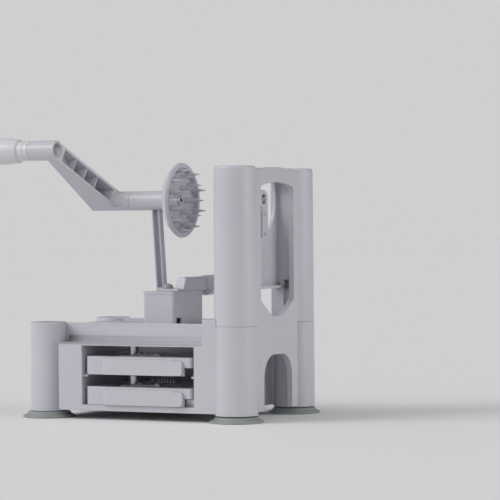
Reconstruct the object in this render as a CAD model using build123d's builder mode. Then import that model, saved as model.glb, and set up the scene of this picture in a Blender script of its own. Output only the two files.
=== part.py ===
from build123d import *
import os
from math import atan2, cos, degrees, radians, sin

os.makedirs("parts", exist_ok=True)

# A hand-cranked spiral slicer: a white moulded base on four suction feet, a tower that
# holds one blade cassette upright, a carriage that carries the crank spindle and slides
# along the deck, and two more cassettes stored under the deck.
# +X runs from the crank towards the blades and +Z is up. The near side, with the storage
# window, is -Y. The sizes are measured from the middle of the four feet on the worktop,
# and each finished piece is moved so that the origin is the middle of the ground the
# whole object covers.

# Plan and heights of the frame
wheelbase = 182.0
column_spacing = 117.0
foot_height = 6.0
seam_height = 81.0
tower_top = 216.0
rear_column_top = 83.0
wall = 2.4
running_gap = 0.3

# Columns and feet
front_column_foot_radius = 18.6
front_column_top_radius = 17.7
rear_column_radius = 16.0
column_cap = 3.0
column_top_edge = 2.4
seam_edge = 0.5
rear_column_shoulder = 1.4
rear_well_radius = 7.0
rear_well_depth = 9.0
foot_radius = 23.0
foot_lip = 1.6
foot_neck_radius = 13.0
foot_cup_depth = 3.0
foot_stem_radius = 3.0
foot_stem_clearance = 0.15
foot_rest_ring = 3.0
foot_barb_radius = 4.6
foot_barb_height = 2.6

# Rail box and deck
skirt_bottom = 7.5
rail_top = 82.5
rail_half_width = 54.0
rail_thickness = 3.0
deck_top = 80.0
deck_thickness = 2.6
box_front = 75.0
slot_half_width = 6.0

# Storage shell on the near side and its bay
shell_face = 73.0
shell_half_length = 73.0
shell_top = 66.0
ledge_sweep = 6.0
ledge_edge = 2.0
window_rear = -50.0
window_front = 58.0
window_sill = 12.6
window_head = 63.4
bay_floor_thickness = 2.5
runner_width = 4.0
runner_inset = 3.0
lug_rear = 66.0
lug_rise = 6.0
lug_inner = 46.0

# Spindle, spiked wheel and crank
spindle_height = 188.5
shaft_radius = 4.0
shaft_clearance = 0.05
sleeve_radius = 8.5
sleeve_rear = -38.0
sleeve_front = -6.0
wheel_radius = 33.0
wheel_hub_radius = 9.0
wheel_rim_front = 12.5
wheel_floor = 8.0
wheel_rim_width = 7.0
wheel_lip = 4.5
wheel_shoulder = 5.0
wheel_screw_head_radius = 4.0
shaft_engagement = 14.0
shaft_chamfer = 0.6
spike_length = 14.0
spike_root_radius = 2.8
spike_tip_radius = 0.25
outer_spike_ring = 26.4
middle_spike_ring = 20.8
spike_count = 9
inner_spike_ring = 11.0
inner_spike_count = 5
crank_radius = 76.0
crank_raise = 35.4
crank_setback = 27.0
hub_radius = 8.5
hub_face = -52.0
hub_rear = -78.0
boss_radius = 8.7
boss_length = 26.0
boss_bore_radius = 6.6
boss_web = 5.0
channel_wall = 2.4
crank_rib = 1.2
crank_rib_count = 3
first_crank_rib = 27.5
crank_rib_pitch = 13.0
arm_depth_at_boss = 9.0

# Knob
knob_pin_radius = 3.0
knob_pin_head_radius = 5.6
knob_pin_head = 2.4
knob_collar_radius = 8.7
knob_collar_length = 12.0
knob_grip_radius = 11.0
knob_grip_length = 46.0
knob_cap_thickness = 3.0
knob_barrel = 0.6
knob_end_radius = 9.6
knob_pin_inset = 2.0

# Carriage
carriage_rear = -14.0
carriage_front = 17.0
carriage_half_width = 28.0
carriage_top = 109.0
carriage_plate = 2.2
carriage_plate_lip = 0.5
carriage_corner = 3.0
carriage_plate_corner = 3.4
carriage_notch_near = -23.5
carriage_notch_far = -14.0
carriage_notch_height = 5.5
retainer_screw_length = 13.0
keel_rear = -4.0
keel_front = 12.0
keel_bottom = 73.5
retainer_half_width = 11.0
retainer_thickness = 2.4
forward_travel = 45.0
backward_travel = 55.0
post_rear = -18.4
post_lean = 5.0
post_width = 7.6
post_depth = 7.0
post_wall = 1.3
post_foot = 3.0
handle_rear = 8.0
handle_width = 9.0
handle_foot_rear = -1.0
handle_height = 12.0
handle_near_end = -21.0
handle_ledge = 2.2
handle_ledge_length = 11.0
handle_edge = 2.6
handle_slope_end = -5.0
handle_far_end = 92.0
handle_grip_start = 36.0
handle_grip_radius = 9.0
handle_grip_neck = 4.0
handle_end_round = 7.0
handle_screw_place = 5.5
handle_dome_radius = 4.8
handle_dome_height = 4.6

# Tower wall and cassette channels
wall_front = 103.0
wall_thickness = 5.0
wall_side_top = 212.0
wall_tuck = 12.0
window_half_width = 33.5
tower_window_head = 203.0
tower_window_shoulder = 199.0
tower_window_waist = 102.0
tower_window_sill = 88.0
sill_half_width = 11.0
arch_half_width = 28.5
arch_crown = 55.0
arch_corner = 20.0
skirt_tuck = 0.8
window_head_corner = 4.5
window_sill_corner = 5.0
guide_lip = 3.0
guide_reach = 4.0
screw_boss_radius = 4.5
tower_screw_offset = 1.5
screw_boss_height = 16.0

# Blade cassettes
cassette_width = 84.0
cassette_length = 104.0
cassette_above_axis = 26.5
cassette_depth = 15.5
cassette_web = 3.0
cassette_rim = 2.5
cassette_top_corner = 8.0
cassette_foot_corner = 3.0
cassette_foot_length = 7.2
cassette_foot_depth = 8.5
cassette_clearance = 0.3
opening_radius = 35.0
opening_top = 20.0
spoke_left = -19.0
spoke_right = 16.0
spoke_top = 4.0
corer_radius = 4.75
corer_wall = 0.6
corer_reach = 8.4
corer_boss_radius = 8.0
corer_boss_depth = 8.0
blade_thickness = 0.8
blade_root = -17.5
blade_edge = -1.0
blade_inner = 8.0
blade_outer = 35.0
slot_left = -8.0
slot_right = 8.0
comb_left = 9.0
comb_width = 5.0
tooth_height = 3.6
tooth_width = 3.6
tooth_thickness = 0.9
blade_screw_inset = 5.0
blade_screw_head = 1.1
fine_tooth_pitch = 3.0
coarse_tooth_pitch = 6.0
tab_center = -63.0
tab_width = 14.0
tab_thickness = 3.4
tab_top = 3.0
tab_corner = 3.0
bow_start = 7.0
bow_step = 2.4
bow_rise = 2.8
bow_top = 2.2
store_pitch = 26.0

# Screws
screw_radius = 1.5
screw_head_radius = 3.0
screw_head = 1.8
screw_clearance = 0.15

# Places worked out from the sizes above
lug_top = seam_height + lug_rise
runner_length = cassette_width - 2 * runner_inset
front_axis = wheelbase / 2
rear_axis = -wheelbase / 2
side_axis = column_spacing / 2
wall_back = wall_front - wall_thickness
blade_plane = wall_back - cassette_clearance - cassette_depth
channel_rear = blade_plane - cassette_clearance
channel_depth = cassette_width / 2 + tab_thickness + 1.0
channel_bottom = spindle_height + cassette_above_axis - cassette_length
store_axis = window_rear + 2.0 + cassette_above_axis
store_side = -shell_face + cassette_width / 2
lower_store_height = window_sill + cassette_clearance + cassette_depth
upper_store_height = lower_store_height + store_pitch
bay_back = store_side + cassette_width / 2 + 1.0
stored_foot = store_axis - cassette_above_axis + cassette_length
floor_step_rear = stored_foot - cassette_foot_length + cassette_clearance
deck_underside = deck_top - deck_thickness
seam_radius = front_column_foot_radius + (front_column_top_radius - front_column_foot_radius) * (
    seam_height - foot_height
) / (tower_top - foot_height)
crank_out = (0, -cos(radians(crank_raise)), sin(radians(crank_raise)))
boss_face = hub_face - crank_setback
knob_start = boss_face - boss_length - running_gap
knob_height = spindle_height + crank_radius * crank_out[2]
knob_side = crank_radius * crank_out[1]
knob_end = knob_start - knob_collar_length - knob_grip_length
middle_x = (knob_end + front_axis + foot_radius) / 2
middle_y = (handle_far_end - side_axis - foot_radius) / 2
bottom_up = (Align.CENTER, Align.CENTER, Align.MIN)
sides = (-1, 1)


def save(solid, name):
    """Move one finished piece to the object's own origin, label it and write its file."""
    placed = solid.moved(Location((-middle_x, -middle_y, 0)))
    placed.label = name
    export_step(placed, f"parts/{name}.step")


def disc_plane(x, y, z):
    """A plane across the spindle direction, looking towards the blades."""
    return Plane(origin=(x, y, z), x_dir=(0, 1, 0), z_dir=(1, 0, 0))


def screw_set(places, length):
    """Identical pan-head screws, each with its head's seat at a place and its shank up."""
    with BuildPart() as screws:
        with Locations(*places):
            Cylinder(screw_radius, length, align=bottom_up)
            Cylinder(
                screw_head_radius, screw_head, align=(Align.CENTER, Align.CENTER, Align.MAX)
            )
    return screws.part


# Base: one white moulding with the lower columns, the rail box, the deck and the bay
def lug_block(side, outer):
    """The raised block that ties a front column to the rail box."""
    with Locations(((lug_rear + front_axis) / 2, side * (lug_inner + outer) / 2, skirt_bottom)):
        Box(front_axis - lug_rear, outer - lug_inner, lug_top - skirt_bottom, align=bottom_up)


with BuildPart() as base_shell:
    # rail box, hollow from below
    with BuildSketch(Plane.XY.offset(skirt_bottom)):
        with Locations(((box_front + rear_axis) / 2, 0)):
            Rectangle(box_front - rear_axis, 2 * rail_half_width)
    extrude(amount=rail_top - skirt_bottom)
    # storage shell with a ledge that sweeps up into the rail
    with BuildSketch(Plane.YZ.offset(-shell_half_length)) as ledge:
        with BuildLine():
            Polyline(
                (-rail_half_width + 1, skirt_bottom),
                (-shell_face, skirt_bottom),
                (-shell_face, shell_top),
                (-rail_half_width, shell_top),
                (-rail_half_width, shell_top + ledge_sweep + 2),
                (-rail_half_width + 1, shell_top + ledge_sweep + 2),
                close=True,
            )
        make_face()
        rail_foot = ledge.vertices().filter_by_position(
            Axis.X, -rail_half_width - 0.1, -rail_half_width + 0.1
        )
        rail_foot = rail_foot.filter_by_position(Axis.Y, shell_top - 0.1, shell_top + 0.1)
        fillet(rail_foot, radius=ledge_sweep)
        shoulder = ledge.vertices().filter_by_position(Axis.X, -shell_face - 0.1, -shell_face + 0.1)
        fillet(shoulder.sort_by(Axis.Y)[-1], radius=ledge_edge)
    extrude(amount=2 * shell_half_length)
    # hollows of the box and of the shell
    inner_half = rail_half_width - rail_thickness
    with BuildSketch(Plane.XY.offset(skirt_bottom)):
        with Locations(((box_front + rear_axis) / 2, 0)):
            Rectangle(box_front - rear_axis - 2 * rail_thickness, 2 * inner_half)
    extrude(amount=deck_underside - skirt_bottom, mode=Mode.SUBTRACT)
    with BuildSketch(Plane.XY.offset(skirt_bottom)):
        with Locations((0, -(shell_face - wall + inner_half) / 2)):
            Rectangle(2 * (shell_half_length - wall), shell_face - wall - inner_half)
    extrude(amount=shell_top - wall - skirt_bottom, mode=Mode.SUBTRACT)
    # trough between the two rails, above the deck
    with BuildSketch(Plane.XY.offset(deck_top)):
        with Locations(((box_front + rear_axis) / 2, 0)):
            Rectangle(box_front - rear_axis, 2 * inner_half)
    extrude(amount=rail_top - deck_top, mode=Mode.SUBTRACT)
    # columns and the blocks beside the front ones
    lug_block(-1, shell_face)
    lug_block(1, side_axis)
    for side in sides:
        with Locations((front_axis, side * side_axis, foot_height)):
            Cone(
                front_column_foot_radius,
                seam_radius,
                seam_height - foot_height,
                align=bottom_up,
            )
        with Locations((rear_axis, side * side_axis, foot_height)):
            shoulder_height = rear_column_top - rear_column_shoulder - foot_height
            Cylinder(rear_column_radius, shoulder_height, align=bottom_up)
        with Locations((rear_axis, side * side_axis, rear_column_top - rear_column_shoulder)):
            Cone(
                rear_column_radius,
                rear_column_radius - rear_column_shoulder,
                rear_column_shoulder,
                align=bottom_up,
            )
    # room above the seam for the tower's columns and guide ribs
    rib_rear = channel_rear - guide_lip - running_gap
    for side in sides:
        with Locations((front_axis, side * side_axis, seam_height)):
            Cylinder(
                seam_radius + running_gap,
                lug_top - seam_height,
                align=bottom_up,
                mode=Mode.SUBTRACT,
            )
        with Locations((rib_rear, side * side_axis, seam_height)):
            Box(
                front_axis - rib_rear,
                side_axis,
                lug_top - seam_height,
                align=(Align.MIN, Align.MAX if side > 0 else Align.MIN, Align.MIN),
                mode=Mode.SUBTRACT,
            )
    # column bores, closed below by a floor that carries the foot
    for side in sides:
        with Locations((front_axis, side * side_axis, foot_height + wall)):
            Cylinder(
                seam_radius - wall,
                seam_height - foot_height - wall - column_cap,
                align=bottom_up,
                mode=Mode.SUBTRACT,
            )
        with Locations((rear_axis, side * side_axis, foot_height + wall)):
            Cylinder(
                rear_column_radius - wall,
                rear_column_top - rear_well_depth - foot_height - 2 * wall,
                align=bottom_up,
                mode=Mode.SUBTRACT,
            )
        with Locations((rear_axis, side * side_axis, rear_column_top)):
            Cylinder(
                rear_well_radius,
                rear_well_depth,
                align=(Align.CENTER, Align.CENTER, Align.MAX),
                mode=Mode.SUBTRACT,
            )
        for axis_x in (front_axis, rear_axis):
            with Locations((axis_x, side * side_axis, foot_height)):
                Cylinder(
                    foot_stem_radius + foot_stem_clearance, wall, align=bottom_up, mode=Mode.SUBTRACT
                )
        with Locations((front_axis, side * (side_axis + tower_screw_offset), seam_height - column_cap)):
            Cylinder(screw_radius + screw_clearance, column_cap, align=bottom_up, mode=Mode.SUBTRACT)
    # storage bay: floor, end walls, back wall and the runners of the upper cassette
    bay_near = shell_face - wall
    with BuildSketch(Plane.XY.offset(window_sill - bay_floor_thickness)):
        with Locations(((window_rear + window_front) / 2, (bay_back + wall - bay_near) / 2)):
            Rectangle(window_front - window_rear + 2 * wall, bay_back + bay_near + wall)
    extrude(amount=bay_floor_thickness)
    bay_depth = bay_back + bay_near + wall
    bay_wall_height = shell_top - wall - window_sill + 0.5
    for wall_x in (window_rear - wall / 2, window_front + wall / 2):
        with Locations((wall_x, (bay_back + wall - bay_near) / 2, window_sill - 0.5)):
            Box(wall, bay_depth, bay_wall_height, align=bottom_up)
    with Locations(((window_rear + window_front) / 2, bay_back + wall / 2, window_sill - 0.5)):
        Box(window_front - window_rear + 2 * wall, wall, bay_wall_height, align=bottom_up)
    with Locations((window_front, (bay_back - shell_face) / 2, window_sill - 0.5)):
        Box(
            window_front - floor_step_rear,
            bay_back + shell_face,
            lower_store_height - cassette_foot_depth - cassette_clearance - window_sill + 0.5,
            align=(Align.MAX, Align.CENTER, Align.MIN),
        )
    for runner_x in (window_rear + runner_width / 2, window_front - runner_width / 2):
        with Locations((runner_x, store_side, upper_store_height - cassette_depth - wall)):
            Box(runner_width, runner_length, wall - cassette_clearance, align=bottom_up)
    with BuildSketch(Plane.XZ.offset(shell_face + 1)):
        with Locations(((window_rear + window_front) / 2, (window_sill + window_head) / 2)):
            Rectangle(window_front - window_rear, window_head - window_sill)
    extrude(amount=-(wall + 2), mode=Mode.SUBTRACT)
    # slot in the deck for the carriage's keel
    slot_rear = keel_rear - backward_travel - 1
    slot_front = keel_front + forward_travel + 1
    with Locations(((slot_rear + slot_front) / 2, 0, deck_underside - 0.5)):
        Box(
            slot_front - slot_rear,
            2 * (slot_half_width + running_gap),
            deck_thickness + 1,
            align=bottom_up,
            mode=Mode.SUBTRACT,
        )
save(base_shell.part, "base_shell")


# Tower: one white moulding with the upper columns, the front wall and the channels
with BuildPart() as tower:
    for side in sides:
        with Locations((front_axis, side * side_axis, seam_height)):
            Cone(
                seam_radius,
                front_column_top_radius,
                tower_top - seam_height,
                align=bottom_up,
            )
    column_feet = tower.edges().filter_by(GeomType.CIRCLE).group_by(Axis.Z)[0]
    chamfer(column_feet, length=seam_edge)
    column_tops = tower.edges().filter_by(GeomType.CIRCLE).group_by(Axis.Z)[-1]
    fillet(column_tops, radius=column_top_edge)
    # guide ribs that close the channels at the back
    for side in sides:
        rib_inner = cassette_width / 2 - guide_reach
        with Locations((channel_rear - guide_lip, side * rib_inner, seam_height)):
            Box(
                front_axis - channel_rear + guide_lip,
                side_axis - rib_inner,
                wall_side_top - seam_height,
                align=(Align.MIN, Align.MIN if side > 0 else Align.MAX, Align.MIN),
            )
    # front wall with an arched top edge, wide above the seam and narrow between the columns
    wall_end = side_axis - wall_tuck
    with BuildSketch(Plane.YZ.offset(wall_back)):
        with BuildLine():
            ThreePointArc((-wall_end, wall_side_top), (0, tower_top), (wall_end, wall_side_top))
            Polyline(
                (wall_end, wall_side_top),
                (wall_end, seam_height + running_gap),
                (-wall_end, seam_height + running_gap),
                (-wall_end, wall_side_top),
            )
        make_face()
    extrude(amount=wall_thickness)
    skirt_half = side_axis - seam_radius + skirt_tuck
    with BuildSketch(Plane.YZ.offset(wall_back)):
        with Locations((0, (skirt_bottom + seam_height + 2) / 2)):
            Rectangle(2 * skirt_half, seam_height + 2 - skirt_bottom)
    extrude(amount=wall_thickness)
    # window: arched head, straight sides, sloped lower corners
    with BuildSketch(Plane.YZ.offset(wall_back - 1)) as tower_window:
        with BuildLine():
            ThreePointArc(
                (-window_half_width, tower_window_shoulder),
                (0, tower_window_head),
                (window_half_width, tower_window_shoulder),
            )
            Polyline(
                (window_half_width, tower_window_shoulder),
                (window_half_width, tower_window_waist),
                (sill_half_width, tower_window_sill),
                (-sill_half_width, tower_window_sill),
                (-window_half_width, tower_window_waist),
                (-window_half_width, tower_window_shoulder),
            )
        make_face()
        fillet(tower_window.vertices().group_by(Axis.Y)[-1], radius=window_head_corner)
        fillet(tower_window.vertices().group_by(Axis.Y)[0], radius=window_sill_corner)
    extrude(amount=wall_thickness + 2, mode=Mode.SUBTRACT)
    # arch at the foot of the wall, open to the worktop
    with BuildSketch(Plane.YZ.offset(wall_back - 1)) as foot_arch:
        with Locations((0, (skirt_bottom - 1 + arch_crown) / 2)):
            Rectangle(2 * arch_half_width, arch_crown - skirt_bottom + 1)
        fillet(foot_arch.vertices().group_by(Axis.Y)[-1], radius=arch_corner)
    extrude(amount=wall_thickness + 2, mode=Mode.SUBTRACT)
    # hollow outer half of each column, open at the seam
    for side in sides:
        with BuildSketch(Plane.XY.offset(seam_height)):
            with Locations((front_axis, side * side_axis)):
                Circle(front_column_top_radius - wall)
            with Locations((front_axis, side * (channel_depth + wall))):
                Rectangle(
                    2 * front_column_foot_radius,
                    2 * front_column_foot_radius,
                    align=(Align.CENTER, Align.MAX if side > 0 else Align.MIN),
                    mode=Mode.SUBTRACT,
                )
        extrude(amount=tower_top - seam_height - column_cap, mode=Mode.SUBTRACT)
        with Locations((front_axis, side * (side_axis + tower_screw_offset), seam_height)):
            Cylinder(screw_boss_radius, screw_boss_height, align=bottom_up)
            Box(
                wall,
                side_axis - channel_depth,
                screw_boss_height,
                align=(Align.CENTER, Align.MAX if side > 0 else Align.MIN, Align.MIN),
            )
            Cylinder(
                screw_radius, screw_boss_height - wall, align=bottom_up, mode=Mode.SUBTRACT
            )
    # cassette channel: a guided strip at the back and a deeper pocket for the pull tab
    channel_height = tower_top - channel_bottom + 1
    with Locations((channel_rear, 0, channel_bottom)):
        Box(
            wall_back - channel_rear,
            cassette_width + 2 * cassette_clearance,
            channel_height,
            align=(Align.MIN, Align.CENTER, Align.MIN),
            mode=Mode.SUBTRACT,
        )
    with Locations((blade_plane + bow_top - 0.3, 0, channel_bottom)):
        Box(
            wall_back - blade_plane - bow_top + 0.3,
            2 * channel_depth,
            channel_height,
            align=(Align.MIN, Align.CENTER, Align.MIN),
            mode=Mode.SUBTRACT,
        )
save(tower.part, "tower")

tower_screw_places = [
    (front_axis, side * (side_axis + tower_screw_offset), seam_height - column_cap) for side in sides
]
save(screw_set(tower_screw_places, screw_boss_height - wall), "tower_screws")


# Suction feet: soft discs with a hollow underside and a barbed stem in the column floor
def suction_foot(x, y):
    section = Plane(origin=(x, y, 0), x_dir=(1, 0, 0), z_dir=(0, -1, 0))
    stem_top = foot_height + wall + running_gap
    with BuildPart() as foot:
        with BuildSketch(section):
            with BuildLine():
                Polyline(
                    (0, foot_cup_depth),
                    (foot_neck_radius + 2, foot_cup_depth * 0.6),
                    (foot_radius - foot_rest_ring, 0),
                    (foot_radius, 0),
                    (foot_radius, foot_lip),
                    (foot_neck_radius + 4, foot_height - 0.6),
                    (foot_neck_radius, foot_height),
                    (foot_stem_radius, foot_height),
                    (foot_stem_radius, stem_top),
                    (foot_barb_radius, stem_top),
                    (foot_stem_radius, stem_top + foot_barb_height),
                    (0, stem_top + foot_barb_height),
                    close=True,
                )
            make_face()
        revolve(axis=Axis((x, y, 0), (0, 0, 1)))
    return foot.part


foot_places = {
    "front_near_foot": (front_axis, -side_axis),
    "front_far_foot": (front_axis, side_axis),
    "rear_near_foot": (rear_axis, -side_axis),
    "rear_far_foot": (rear_axis, side_axis),
}
for foot_name, foot_place in foot_places.items():
    save(suction_foot(*foot_place), foot_name)


# Carriage: a hollow block with a keel through the deck slot and a retainer under the deck
with BuildPart() as carriage:
    carriage_length = carriage_front - carriage_rear
    carriage_mid = (carriage_front + carriage_rear) / 2
    body_bottom = deck_top + running_gap
    body_top = carriage_top - carriage_plate
    with Locations((carriage_mid, 0, body_bottom)):
        Box(carriage_length, 2 * carriage_half_width, body_top - body_bottom, align=bottom_up)
    fillet(carriage.edges().filter_by(Axis.Z), radius=carriage_corner)
    with BuildSketch(Plane.XY.offset(body_top)):
        with Locations((carriage_mid, 0)):
            RectangleRounded(
                carriage_length + 2 * carriage_plate_lip,
                2 * (carriage_half_width + carriage_plate_lip),
                carriage_plate_corner,
            )
    extrude(amount=carriage_plate)
    with BuildSketch(Plane.XY.offset(body_bottom)):
        with Locations((carriage_mid, 0)):
            Rectangle(carriage_length - 2 * wall, 2 * (carriage_half_width - wall))
    extrude(amount=body_top - wall - body_bottom, mode=Mode.SUBTRACT)
    keel_length = keel_front - keel_rear
    keel_mid = (keel_front + keel_rear) / 2
    with Locations((keel_mid, 0, keel_bottom)):
        Box(keel_length, 2 * slot_half_width, body_top - keel_bottom - 1, align=bottom_up)
    for side in sides:
        with Locations((keel_mid, side * carriage_half_width / 2, body_bottom)):
            Box(wall, carriage_half_width - 1, body_top - body_bottom - 1, align=bottom_up)
    with Locations((keel_mid, 0, keel_bottom)):
        Cylinder(screw_radius, retainer_screw_length + 1, align=bottom_up, mode=Mode.SUBTRACT)
    post_screw_x = carriage_rear + wall + screw_head_radius + running_gap
    with Locations((post_screw_x, 0, body_top - wall - 1)):
        Cylinder(screw_radius, carriage_plate + wall + 1, align=bottom_up, mode=Mode.SUBTRACT)
    # notch in the front face, beside the near rail
    with Locations((carriage_front, (carriage_notch_near + carriage_notch_far) / 2, body_bottom)):
        Box(
            2 * wall,
            carriage_notch_far - carriage_notch_near,
            carriage_notch_height,
            align=bottom_up,
            mode=Mode.SUBTRACT,
        )
save(carriage.part, "carriage")

with BuildPart() as retainer:
    with Locations((keel_mid, 0, keel_bottom)):
        Box(
            keel_length,
            2 * retainer_half_width,
            retainer_thickness,
            align=(Align.CENTER, Align.CENTER, Align.MAX),
        )
    fillet(retainer.edges().filter_by(Axis.Z), radius=carriage_corner)
    for side in sides:
        pad_y = side * (slot_half_width + running_gap + retainer_half_width) / 2
        with Locations((keel_mid, pad_y, keel_bottom - 0.2)):
            Box(
                keel_length - 4,
                retainer_half_width - slot_half_width - 2,
                deck_underside - running_gap - keel_bottom + 0.2,
                align=bottom_up,
            )
    with Locations((keel_mid, 0, keel_bottom)):
        Cylinder(
            screw_radius,
            retainer_thickness,
            align=(Align.CENTER, Align.CENTER, Align.MAX),
            mode=Mode.SUBTRACT,
        )
save(retainer.part, "carriage_retainer")
retainer_screw_place = (keel_mid, 0, keel_bottom - retainer_thickness)
save(screw_set([retainer_screw_place], retainer_screw_length), "retainer_screw")


# Upright post: a leaning channel section open to the near side, with the spindle sleeve
def post_corners(inset, bottom, top):
    """Corners of the leaning post seen from the near side, drawn inwards by an inset."""
    lean_per_height = post_lean / (spindle_height - carriage_top)
    bottom_rear = post_rear + lean_per_height * (spindle_height - bottom)
    top_rear = post_rear + lean_per_height * (spindle_height - top)
    return [
        (bottom_rear + inset, bottom),
        (bottom_rear + post_width - inset, bottom),
        (top_rear + post_width - inset, top),
        (top_rear + inset, top),
    ]


near_post_face = Plane(origin=(0, -post_depth / 2, 0), x_dir=(1, 0, 0), z_dir=(0, -1, 0))
with BuildPart() as post:
    with BuildSketch(near_post_face):
        Polygon(*post_corners(0, carriage_top, spindle_height), align=None)
    extrude(amount=-post_depth)
    with BuildSketch(near_post_face.offset(1)):
        channel_top = spindle_height - sleeve_radius + 1
        Polygon(*post_corners(post_wall, carriage_top + post_foot, channel_top), align=None)
    extrude(amount=-(post_depth - post_wall + 1), mode=Mode.SUBTRACT)
    with BuildSketch(disc_plane(sleeve_rear, 0, spindle_height)):
        Circle(sleeve_radius)
    extrude(amount=sleeve_front - sleeve_rear)
    with BuildSketch(disc_plane(sleeve_rear, 0, spindle_height)):
        Circle(shaft_radius + shaft_clearance)
    extrude(amount=sleeve_front - sleeve_rear, mode=Mode.SUBTRACT)
    with Locations((post_screw_x, 0, carriage_top)):
        Cylinder(screw_radius, post_foot - 0.5, align=bottom_up, mode=Mode.SUBTRACT)
save(post.part, "upright_post")
post_screw_length = carriage_plate + wall + post_foot - 0.5
save(screw_set([(post_screw_x, 0, body_top - wall)], post_screw_length), "post_screw")


# Push handle: a bar across the carriage that swells into a round grip on the far side
with BuildPart() as handle:
    handle_mid = handle_rear + handle_width / 2
    handle_screw_x = handle_foot_rear + handle_screw_place
    handle_crown = carriage_top + handle_height
    with BuildSketch(Plane.YZ.offset(handle_rear)):
        with BuildLine():
            Polyline(
                (handle_near_end, carriage_top),
                (handle_near_end, carriage_top + handle_ledge),
                (handle_near_end + handle_ledge_length, carriage_top + handle_ledge),
                (handle_slope_end, handle_crown),
                (handle_grip_start + handle_grip_neck, handle_crown),
                (handle_grip_start + handle_grip_neck, carriage_top),
                close=True,
            )
        make_face()
    extrude(amount=handle_width)
    fillet(handle.edges().filter_by(Axis.Y).group_by(Axis.Z)[-1], radius=handle_edge)
    with Locations((handle_foot_rear, handle_near_end, carriage_top)):
        Box(
            handle_mid - handle_foot_rear,
            handle_ledge_length,
            handle_ledge,
            align=(Align.MIN, Align.MIN, Align.MIN),
        )
    grip_height = handle_crown - handle_grip_radius + 1.0
    with BuildSketch(Plane(origin=(handle_mid, 0, grip_height), x_dir=(1, 0, 0), z_dir=(0, 0, 1))):
        with BuildLine():
            Polyline(
                (0, handle_grip_start),
                (handle_grip_radius - 3, handle_grip_start),
                (handle_grip_radius, handle_grip_start + handle_grip_neck),
                (handle_grip_radius, handle_far_end - handle_end_round),
            )
            RadiusArc(
                (handle_grip_radius, handle_far_end - handle_end_round),
                (handle_grip_radius - handle_end_round, handle_far_end),
                -handle_end_round,
            )
            Polyline(
                (handle_grip_radius - handle_end_round, handle_far_end),
                (0, handle_far_end),
                (0, handle_grip_start),
            )
        make_face()
    revolve(axis=Axis((handle_mid, 0, grip_height), (0, 1, 0)))
    with Locations((handle_screw_x, handle_near_end + handle_screw_place, carriage_top)):
        Cylinder(screw_radius + screw_clearance, handle_ledge, align=bottom_up, mode=Mode.SUBTRACT)
save(handle.part, "push_handle")

with BuildPart() as handle_screw:
    dome_base = carriage_top + handle_ledge
    with Locations((handle_screw_x, handle_near_end + handle_screw_place, dome_base)):
        Cylinder(handle_dome_radius, handle_dome_height, align=bottom_up)
    dome_top = handle_screw.edges().filter_by(GeomType.CIRCLE).sort_by(Axis.Z)[-1]
    fillet(dome_top, radius=handle_dome_height - 0.8)
    with Locations((handle_screw_x, handle_near_end + handle_screw_place, dome_base)):
        Cylinder(screw_radius, handle_ledge, align=(Align.CENTER, Align.CENTER, Align.MAX))
save(handle_screw.part, "handle_screw")


# Spindle shaft: a plain steel rod from the crank hub to the wheel hub
shaft_rear = hub_face - shaft_engagement
shaft_front = wheel_floor - 2
with BuildPart() as shaft:
    with BuildSketch(disc_plane(shaft_rear, 0, spindle_height)):
        Circle(shaft_radius)
    extrude(amount=shaft_front - shaft_rear)
    chamfer(shaft.edges().filter_by(GeomType.CIRCLE), length=shaft_chamfer)
save(shaft.part, "spindle_shaft")


# Spiked wheel: a shallow dish turned about the spindle, with three rings of spikes
def spike_ring(count, ring_radius, first_angle):
    with BuildSketch(disc_plane(wheel_floor - 0.5, 0, spindle_height)) as roots:
        with PolarLocations(ring_radius, count, start_angle=first_angle):
            Circle(spike_root_radius)
    spike_slope = degrees(atan2(spike_root_radius - spike_tip_radius, spike_length))
    extrude(roots.sketch, amount=spike_length + 0.5, taper=spike_slope)


with BuildPart() as wheel:
    wheel_back = sleeve_front + running_gap
    rim_back = wheel_rim_front - wheel_rim_width
    with BuildSketch(Plane(origin=(0, 0, spindle_height), x_dir=(1, 0, 0), z_dir=(0, -1, 0))):
        with BuildLine():
            Polyline(
                (wheel_floor, 0),
                (wheel_back, 0),
                (wheel_back, wheel_hub_radius),
                (rim_back, wheel_radius - wheel_shoulder),
            )
            ThreePointArc(
                (rim_back, wheel_radius - wheel_shoulder),
                ((rim_back + wheel_rim_front) / 2, wheel_radius - 1.2),
                (wheel_rim_front - 2, wheel_radius),
            )
            ThreePointArc(
                (wheel_rim_front - 2, wheel_radius),
                (wheel_rim_front - 0.5, wheel_radius - 0.8),
                (wheel_rim_front, wheel_radius - 2.4),
            )
            Polyline(
                (wheel_rim_front, wheel_radius - 2.4),
                (wheel_rim_front, wheel_radius - wheel_lip),
                (wheel_floor, wheel_radius - wheel_lip - 0.6),
                (wheel_floor, 0),
            )
        make_face()
    revolve(axis=Axis((0, 0, spindle_height), (1, 0, 0)))
    with BuildSketch(disc_plane(wheel_back - 1, 0, spindle_height)):
        Circle(shaft_radius)
    extrude(amount=shaft_front - wheel_back + 1, mode=Mode.SUBTRACT)
    with BuildSketch(disc_plane(shaft_front - 0.5, 0, spindle_height)):
        Circle(screw_radius)
    extrude(amount=wheel_floor - shaft_front + 1, mode=Mode.SUBTRACT)
    spike_ring(spike_count, outer_spike_ring, 180)
    spike_ring(spike_count, middle_spike_ring, 180 + 180 / spike_count)
    spike_ring(inner_spike_count, inner_spike_ring, 0)
save(wheel.part, "spiked_wheel")

with BuildPart() as wheel_screw:
    with BuildSketch(disc_plane(wheel_floor, 0, spindle_height)):
        Circle(wheel_screw_head_radius)
    extrude(amount=screw_head)
    with BuildSketch(disc_plane(shaft_front, 0, spindle_height)):
        Circle(screw_radius)
    extrude(amount=wheel_floor - shaft_front)
save(wheel_screw.part, "wheel_screw")


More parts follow.
